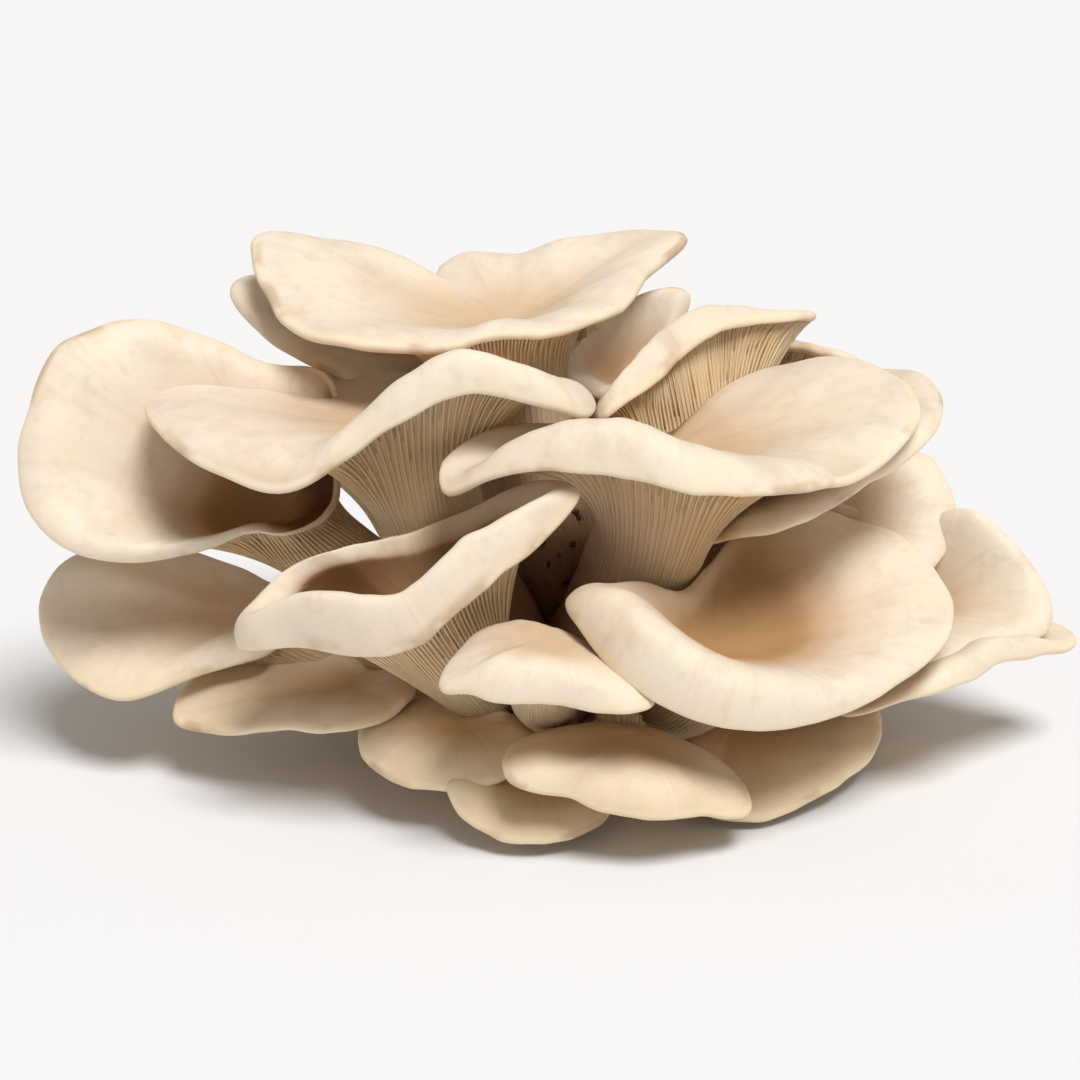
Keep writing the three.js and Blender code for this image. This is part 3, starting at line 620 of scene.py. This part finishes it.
def gill_blade_tree():
    """Turns lines into thin blades: drawn down by one vector, then thickened by another."""
    tree = growing_tree("gill_blades", "Lines", (("Depth", 1), ("Thickness", 1)), "Flesh", "Blades")
    new, link = tree.nodes.new, tree.links.new
    given, made = new("NodeGroupInput"), new("NodeGroupOutput")

    def scaled(attribute, amount):
        named = new("GeometryNodeInputNamedAttribute")
        named.data_type = "FLOAT_VECTOR"
        named.inputs["Name"].default_value = attribute
        scale = new("ShaderNodeVectorMath")
        scale.operation = "SCALE"
        link(named.outputs["Attribute"], scale.inputs[0])
        link(given.outputs[amount], scale.inputs["Scale"])
        return scale.outputs[0]

    def drawn_out(geometry, mode, offset):
        extrude = new("GeometryNodeExtrudeMesh")
        extrude.mode = mode
        extrude.inputs["Offset Scale"].default_value = 0
        if mode == "FACES":
            extrude.inputs["Individual"].default_value = False
        move = new("GeometryNodeSetPosition")
        link(geometry, extrude.inputs["Mesh"])
        link(extrude.outputs["Mesh"], move.inputs["Geometry"])
        link(extrude.outputs["Top"], move.inputs["Selection"])
        link(offset, move.inputs["Offset"])
        return move.outputs["Geometry"]

    ribbon = drawn_out(given.outputs["Lines"], "EDGES", scaled("hang", "Depth"))
    thick = drawn_out(ribbon, "FACES", scaled("side", "Thickness"))
    back, join = new("GeometryNodeFlipFaces"), new("GeometryNodeJoinGeometry")
    weld = new("GeometryNodeMergeByDistance")
    weld.inputs["Distance"].default_value = 0.001 * MM
    link(ribbon, back.inputs["Mesh"])
    link(thick, join.inputs["Geometry"])
    link(back.outputs["Mesh"], join.inputs["Geometry"])
    link(join.outputs["Geometry"], weld.inputs["Geometry"])
    painted(tree, weld.outputs["Geometry"], given.outputs["Flesh"], made.inputs["Blades"])
    return tree


def crumb_tree():
    """Scatters small broken lumps on a set of points."""
    sizes = (("Smallest", 0.3 * MM), ("Largest", 1.3 * MM))
    tree = growing_tree("scattered_crumbs", "Places", sizes, "Bark", "Crumbs")
    new, link = tree.nodes.new, tree.links.new
    given, made = new("NodeGroupInput"), new("NodeGroupOutput")
    lump, spread = new("GeometryNodeMeshIcoSphere"), new("GeometryNodeInstanceOnPoints")
    lump.inputs["Radius"].default_value = 1
    lump.inputs["Subdivisions"].default_value = 2
    turned, sized, squashed = (new("FunctionNodeRandomValue") for _ in range(3))
    for node, kind, seed in ((turned, "FLOAT_VECTOR", 3), (sized, "FLOAT", 5), (squashed, "FLOAT_VECTOR", 8)):
        node.data_type = kind
        node.inputs["Seed"].default_value = seed
    turned.inputs[1].default_value = (TAU, TAU, TAU)
    squashed.inputs[0].default_value = (0.6, 0.6, 0.5)
    squashed.inputs[1].default_value = (1.5, 1.1, 0.9)
    scale = new("ShaderNodeVectorMath")
    scale.operation = "SCALE"
    link(given.outputs["Smallest"], sized.inputs[2])
    link(given.outputs["Largest"], sized.inputs[3])
    link(squashed.outputs[0], scale.inputs[0])
    link(sized.outputs[1], scale.inputs["Scale"])
    link(given.outputs["Places"], spread.inputs["Points"])
    link(lump.outputs["Mesh"], spread.inputs["Instance"])
    link(turned.outputs[0], spread.inputs["Rotation"])
    link(scale.outputs[0], spread.inputs["Scale"])
    painted(tree, spread.outputs["Instances"], given.outputs["Bark"], made.inputs["Crumbs"])
    return tree


def grown(name, mesh, tree, **inputs):
    """The plain mesh that a tree makes of this one, as a new object."""
    thing = bpy.data.objects.new(name, mesh)
    bpy.context.scene.collection.objects.link(thing)
    modifier = thing.modifiers.new("grow", "NODES")
    modifier.node_group = tree
    for item in tree.interface.items_tree:
        if item.in_out == "INPUT" and item.name in inputs:
            modifier[item.identifier] = inputs[item.name]
    bpy.context.view_layer.update()
    evaluated = thing.evaluated_get(bpy.context.evaluated_depsgraph_get())
    result = bpy.data.meshes.new_from_object(evaluated)
    thing.modifiers.clear()
    thing.data = result
    bpy.data.meshes.remove(mesh)
    for label in ("hang", "side"):
        if label in result.attributes:
            result.attributes.remove(result.attributes[label])
    return thing


def volume(mesh):
    mesh.calc_loop_triangles()
    corners = np.array([[mesh.vertices[i].co for i in t.vertices] for t in mesh.loop_triangles])
    return np.einsum("ij,ij->i", corners[:, 0], np.cross(corners[:, 1], corners[:, 2])).sum() / 6


# ---------------------------------------------------------------------- butt
def butt_mesh():
    """The lumpy butt with its flat cut face on the table."""
    rays = 120
    turn = np.linspace(0, TAU, rays, endpoint=False)
    heights, radii = np.array(BUTT_LEVELS).T
    level = np.linspace(0, 1, 40)
    height = np.interp(level, np.linspace(0, 1, len(heights)), heights)
    radius = np.interp(level, np.linspace(0, 1, len(radii)), radii)
    lobed = 1 + sum(high * np.cos(n * turn + phase) for n, high, phase in BUTT_BULGES)
    x = BUTT_CENTRE[0] + radius[None] * (lobed * np.cos(turn))[:, None]
    y = BUTT_CENTRE[1] + radius[None] * (lobed * BUTT_NARROW * np.sin(turn))[:, None]
    side = np.stack([x, y, np.repeat(height[None], rays, 0)], -1)
    out = np.stack([np.cos(turn), np.sin(turn), 0 * turn], -1)[:, None]
    lumps = sum(high * ripple(side, long, seed) for high, long, seed in BUTT_LUMPS) - BUTT_PARED
    side = side + out * (lumps * smooth(-1, 3, side[..., 2]))[..., None]
    sole = side[:, 0]
    inward = np.array([*BUTT_CENTRE, 0]) - sole
    face = sole[:, None] + inward[:, None] * np.linspace(0.06, 0.94, 12)[None, :, None]
    rows = np.concatenate([side[:, ::-1], face], 1)
    first = np.array([*BUTT_CENTRE, BUTT_LEVELS[-1][0]])
    last = np.array([*BUTT_CENTRE, 0.0])
    profile = np.linspace(0, 1, rows.shape[1])
    return closed_skin("butt", first, rows, last, spoke_values(np.degrees(turn), profile))


# Where crumbs lie: on which piece, the box of design space they are sought from, and the tries.
CRUMB_SITES = (
    ("top", (-10, -40, 30), (10, -38, 56), 46),
    ("butt", (-26, -60, 4), (32, -58, 22), 60),
)


def crumb_places(shrooms):
    """Points on the stems' front in the dark middle, and low on the butt."""
    rng = np.random.default_rng(21)
    places = []
    for name, low, high, tries in CRUMB_SITES:
        tree = BVHTree.FromObject(shrooms[name], bpy.context.evaluated_depsgraph_get())
        for _ in range(tries):
            spot = rng.uniform(low, high)
            start = Vector((spot - FRAME_ORIGIN) * MM)
            toward = Vector((rng.uniform(-0.4, 0.4), 1, rng.uniform(-0.3, 0.1))).normalized()
            hit, normal, _, _ = tree.ray_cast(start, toward)
            if hit is not None and hit.z > 3 * MM:
                places.append(hit + normal * 0.2 * MM)
    mesh = bpy.data.meshes.new("crumb_places")
    mesh.from_pydata(places, [], [])
    return mesh


# ------------------------------------------------------------------ finishes
def srgb(red, green, blue):
    """A colour given on the 0 to 255 scale, as linear values."""
    parts = (v / 255 for v in (red, green, blue))
    return tuple(v / 12.92 if v <= 0.04045 else ((v + 0.055) / 1.055) ** 2.4 for v in parts)


class Signal:
    """One output of a finish's node tree, which can be written in sums."""

    def __init__(self, finish, socket):
        self.finish = finish
        self.socket = socket

    def math(self, operation, first, second):
        return self.finish.node("Math", {"operation": operation}, {0: first, 1: second})

    def __add__(self, other):
        return self.math("ADD", self, other)

    def __sub__(self, other):
        return self.math("SUBTRACT", self, other)

    def __rsub__(self, other):
        return self.math("SUBTRACT", other, self)

    def __mul__(self, other):
        return self.math("MULTIPLY", self, other)

    __radd__ = __add__
    __rmul__ = __mul__


class Finish:
    """A material under way, with one method for every node it needs."""

    def __init__(self, name, **constants):
        self.material = bpy.data.materials.new(name)
        self.material.use_nodes = True
        self.tree = self.material.node_tree
        self.shader = self.tree.nodes["Principled BSDF"]
        for label, value in constants.items():
            self.shader.inputs[label.replace("_", " ")].default_value = value

    def node(self, kind, settings, inputs, output=0):
        made = self.tree.nodes.new("ShaderNode" + kind)
        for label, value in settings.items():
            setattr(made, label, value)
        for key, value in inputs.items():
            if isinstance(value, Signal):
                self.tree.links.new(value.socket, made.inputs[key])
            else:
                made.inputs[key].default_value = value
        return Signal(self, made.outputs[output])

    def blend(self, share, first, second):
        """Two colours mixed by a share."""
        ends = [c if isinstance(c, Signal) else (*c, 1) for c in (first, second)]
        return self.node("Mix", {"data_type": "RGBA"}, {0: share, 6: ends[0], 7: ends[1]}, 2)

    def step(self, value, low, high):
        """0 below low, 1 above high, smooth between."""
        return self.node(
            "MapRange", {"interpolation_type": "SMOOTHSTEP"},
            {"Value": value, "From Min": low, "From Max": high})

    def noise(self, place, size, detail=3, rough=0.55):
        """Noise whose patches are about this many millimetres across."""
        return self.node(
            "TexNoise", {}, {"Vector": place, "Scale": 1 / (size * MM), "Detail": detail, "Roughness": rough})

    def place(self):
        return self.node("TexCoord", {}, {}, "Object")

    def spoke(self, around, along, detail):
        """Noise drawn out along the rays of a cap, with no seam around it."""
        value = self.node("Attribute", {"attribute_name": "spoke"}, {}, "Vector")
        spread = self.node("VectorMath", {"operation": "MULTIPLY"}, {0: value, 1: (around, around, along)})
        return self.node("TexNoise", {}, {"Vector": spread, "Scale": 1, "Detail": detail})

    def profile(self):
        """0 at the hub, 0.5 at the margin, 0.75 at the collar, 1 at the root."""
        value = self.node("Attribute", {"attribute_name": "spoke"}, {}, "Vector")
        return self.node("SeparateXYZ", {}, {0: value}, 2)

    def core(self, place, outer=36, inner=14):
        """Mask of painted shade: 1 in the dark middle of the cluster, where the stems crowd together, 0 out
        by the caps.
        """
        away = self.node("VectorMath", {"operation": "DISTANCE"}, {0: place, 1: CORE}, "Value")
        return 1 - self.step(away, inner * MM, outer * MM)

    def finished(self, colour, roughness, height=None, distance=0.1, strength=0.5):
        wanted = {"Base Color": colour, "Roughness": roughness}
        if height is not None:
            wanted["Normal"] = self.node(
                "Bump", {}, {"Strength": strength, "Distance": distance * MM, "Height": height})
        for label, value in wanted.items():
            self.tree.links.new(value.socket, self.shader.inputs[label])
        return self.material


FLESH_GLOW = {
    "Subsurface_Weight": 0.3,
    "Subsurface_Radius": (1.0, 0.5, 0.25),
    "Subsurface_Scale": 3 * MM,
    "IOR": 1.42,
}


# The middle of the crowded stems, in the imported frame.
CORE = (0.0045, -0.0180, 0.0300)

# The one yellow-brown bruise, on the cap at the right.
BRUISE = (0.0790, 0.0057, 0.0515)


def skin_colour(f, place, profile, patches, mottle, fibres):
    """Mottled cream, with painted shade in hollows and in the cluster's dark middle, and browner low in the
    cluster and by a hub, partly painted shade and partly the caps' own tone.
    """
    broad = f.noise(place, 34, 2)
    skin = f.blend(f.step(broad, 0.35, 0.68), srgb(234, 223, 207), srgb(233, 218, 202))
    skin = f.blend(f.step(patches, 0.5, 0.74) * 0.5, skin, srgb(234, 219, 188))
    skin = f.blend((1 - f.step(patches, 0.28, 0.52)) * 0.5, skin, srgb(214, 196, 172))
    skin = f.blend(f.step(mottle, 0.55, 0.75) * 0.3, skin, srgb(206, 187, 160))
    skin = f.blend(f.step(fibres, 0.5, 0.72) * 0.25, skin, srgb(216, 194, 162))
    # partly painted shade, partly the low caps' yellower tone: browner low in the cluster, under the caps
    # above
    height = f.node("SeparateXYZ", {}, {0: place}, 2)
    skin = f.blend((1 - f.step(height, 6 * MM, 36 * MM)) * 0.5, skin, srgb(222, 196, 150))
    # painted shade in a cap's hollow: browner, then dark brown deep down
    hollow = f.node("Attribute", {"attribute_name": "hollow"}, {}, "Fac")
    skin = f.blend(hollow * 0.9, skin, srgb(160, 112, 62))
    skin = f.blend(f.step(hollow, 0.55, 1.0) * 0.85, skin, srgb(82, 44, 16))
    # painted shade on the skin near the cluster's crowded middle
    skin = f.blend(f.core(place, 58, 32) * 0.5, skin, srgb(198, 166, 122))
    # partly painted shade, partly the cap's own tone: browner by the hub
    return f.blend((1 - f.step(profile, 0.08, 0.36)) * 0.5, skin, srgb(200, 158, 108))


def highlit_and_browned_margin(f, place, profile, skin):
    """The skin with a painted highlight along the margin, which is browned in places."""
    rim = f.step(profile, 0.478, 0.5) * (1 - f.step(profile, 0.505, 0.53))
    # painted highlight: the margin paler, where its rolled edge catches the light
    skin = f.blend(rim * 0.4, skin, srgb(244, 226, 190))
    browned = rim * f.step(f.noise(place, 16, 3), 0.52, 0.66)
    return f.blend(browned * 0.45, skin, srgb(158, 118, 78))


def bruised(f, place, mottle, skin):
    """The skin with the one yellow-brown bruise."""
    away = f.node("VectorMath", {"operation": "DISTANCE"}, {0: place, 1: BRUISE}, "Value")
    unbruised = f.step(away + mottle * 1.5 * MM, 1.6 * MM, 3.2 * MM)
    return f.blend((1 - unbruised) * 0.8, skin, srgb(190, 146, 78))


def stem_colour(f, place, profile, fine_fibres):
    """Pale fibrous stem, browner towards the root, mostly as painted shade low in the cluster, and with
    painted shade in the cluster's dark middle.
    """
    stem = f.blend(f.step(fine_fibres, 0.4, 0.66), srgb(226, 198, 164), srgb(210, 178, 138))
    # mostly painted shade: darker towards the root, low in the cluster
    stem = f.blend(f.step(profile, 0.76, 1.0) * 0.75, stem, srgb(128, 82, 42))
    # painted shade on the stems in the cluster's crowded middle
    return f.blend(f.core(place) * 0.8, stem, srgb(118, 74, 38))


def cap_flesh():
    """Satin skin on top and fibrous stem below, told apart by the place along the profile."""
    f = Finish("cap_flesh", **FLESH_GLOW)
    place, profile = f.place(), f.profile()
    patches, mottle = f.noise(place, 11, 4, 0.6), f.noise(place, 4.2, 3)
    fibres, fine_fibres = f.spoke(15, 5, 4), f.spoke(46, 9, 3)
    skin = skin_colour(f, place, profile, patches, mottle, fibres)
    skin = bruised(f, place, mottle, highlit_and_browned_margin(f, place, profile, skin))
    below = f.step(profile, 0.5, 0.54)
    colour = f.blend(below, skin, stem_colour(f, place, profile, fine_fibres))
    roughness = 0.5 + patches * 0.14 + below * 0.12
    relief = mottle * 0.35 + fine_fibres * 0.4 + fibres * 0.5 + f.noise(place, 0.9, 2) * 0.3
    return f.finished(colour, roughness, relief, distance=0.35, strength=0.3)


def gill_flesh():
    f = Finish("gill_flesh", **FLESH_GLOW)
    place = f.place()
    tint = f.noise(place, 13, 3)
    speck = f.noise(place, 2.4, 2)
    colour = f.blend(f.step(tint, 0.32, 0.7), srgb(228, 201, 166), srgb(212, 180, 140))
    colour = f.blend(f.step(speck, 0.6, 0.8) * 0.3, colour, srgb(196, 154, 112))
    # painted shade on the gills in the cluster's crowded middle
    colour = f.blend(f.core(place) * 0.8, colour, srgb(126, 80, 42))
    return f.finished(colour, 0.55 + speck * 0.12)


def butt_flesh():
    f = Finish("butt_flesh", **{**FLESH_GLOW, "Subsurface_Weight": 0.12})
    place = f.place()
    lumps = f.noise(place, 7, 4, 0.65)
    fibres = f.noise(place, 1.6, 4, 0.7)
    colour = f.blend(f.step(lumps, 0.3, 0.7), srgb(198, 168, 126), srgb(150, 114, 76))
    colour = f.blend(f.step(fibres, 0.55, 0.72) * 0.6, colour, srgb(104, 74, 46))
    return f.finished(colour, 0.72 + fibres * 0.16, lumps + fibres * 0.6, distance=0.8, strength=0.6)


def crumb_bark():
    f = Finish("crumb_bark")
    place = f.place()
    grain = f.noise(place, 0.8, 3, 0.7)
    colour = f.blend(f.step(grain, 0.35, 0.68), srgb(64, 40, 24), srgb(128, 92, 58))
    return f.finished(colour, 0.78 + grain * 0.18, grain, distance=0.3, strength=0.7)


# ------------------------------------------------------------------ assembly
CAP_FLESH, GILL_FLESH, BUTT_FLESH, CRUMB_BARK = cap_flesh(), gill_flesh(), butt_flesh(), crumb_bark()
GILL_TREE, CRUMB_TREE = gill_blade_tree(), crumb_tree()


def placed(thing, node=None):
    """The piece rides with the cluster and stands for its solid."""
    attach(thing, "root")
    if node:
        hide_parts(node)
    return thing


def new_piece(name, mesh, material):
    mesh.materials.append(material)
    thing = bpy.data.objects.new(name, mesh)
    bpy.context.scene.collection.objects.link(thing)
    return thing


butt = placed(new_piece("butt_flesh", butt_mesh(), BUTT_FLESH), "butt")
shrooms = {"butt": butt}
for name, design in MUSHROOMS.items():
    shroom = Mushroom(name, design)
    cap = new_piece(name + "_cap_and_stem", mushroom_mesh(shroom), CAP_FLESH)
    shrooms[name] = placed(cap, "mushroom_" + name)
    lines = line_mesh(name + "_gill_lines", *gill_lines(shroom))
    gills = grown(name + "_gills", lines, GILL_TREE, Flesh=GILL_FLESH)
    if volume(gills.data) < 0:
        gills.data.flip_normals()
    placed(gills)

crumbs = grown("substrate_crumbs", crumb_places(shrooms), CRUMB_TREE, Bark=CRUMB_BARK)
placed(crumbs)


# --------------------------------------------------------------------- stage
FLOOR_HALF = 9                   # metres
LAMP_TOWARDS = (0.24, -0.5, 1.0)
AIM = (-1.2, 0.0, 48.7)          # design frame, the middle of what the camera sees
DIP, DISTANCE = 20, 0.62         # degrees and metres from the aim to the camera


def stage_floor():
    """A wide plain pale floor under the cluster."""
    mesh = bpy.data.meshes.new("floor")
    corners = [(x * FLOOR_HALF, y * FLOOR_HALF, 0) for x, y in ((-1, -1), (1, -1), (1, 1), (-1, 1))]
    mesh.from_pydata(corners, [], [(0, 1, 2, 3)])
    floor = bpy.data.objects.new("floor", mesh)
    bpy.context.scene.collection.objects.link(floor)
    f = Finish("floor_paint", Base_Color=(0.84, 0.86, 0.91, 1), Roughness=0.9)
    mesh.materials.append(f.material)


def stage_light():
    """A broad lamp high at the front right, and an even warm sky."""
    scene = bpy.context.scene
    lamp = bpy.data.lights.new("key", "SUN")
    lamp.energy = 2.8
    lamp.angle = math.radians(24)
    lamp.color = (1.0, 0.985, 0.96)
    key = bpy.data.objects.new("key", lamp)
    scene.collection.objects.link(key)
    key.rotation_euler = Vector(LAMP_TOWARDS).to_track_quat("Z", "Y").to_euler()
    world = bpy.data.worlds.new("sky")
    world.use_nodes = True
    world.node_tree.nodes["Background"].inputs["Color"].default_value = (1, 0.93, 0.8, 1)
    world.node_tree.nodes["Background"].inputs["Strength"].default_value = 0.35
    scene.world = world
    scene.view_settings.view_transform = "Standard"


def stage_camera():
    """Level with the front, looking down at the cluster by 20 degrees."""
    aim = Vector((np.array(AIM) - FRAME_ORIGIN) * MM)
    dip = math.radians(DIP)
    back = Vector((0, -math.cos(dip), math.sin(dip)))
    lens = bpy.data.cameras.new("camera")
    lens.sensor_width = 36
    lens.lens = 99.8
    camera = bpy.data.objects.new("camera", lens)
    bpy.context.scene.collection.objects.link(camera)
    camera.location = aim + back * DISTANCE
    camera.rotation_euler = back.to_track_quat("Z", "Y").to_euler()
    bpy.context.scene.camera = camera


stage_floor()
stage_light()
stage_camera()
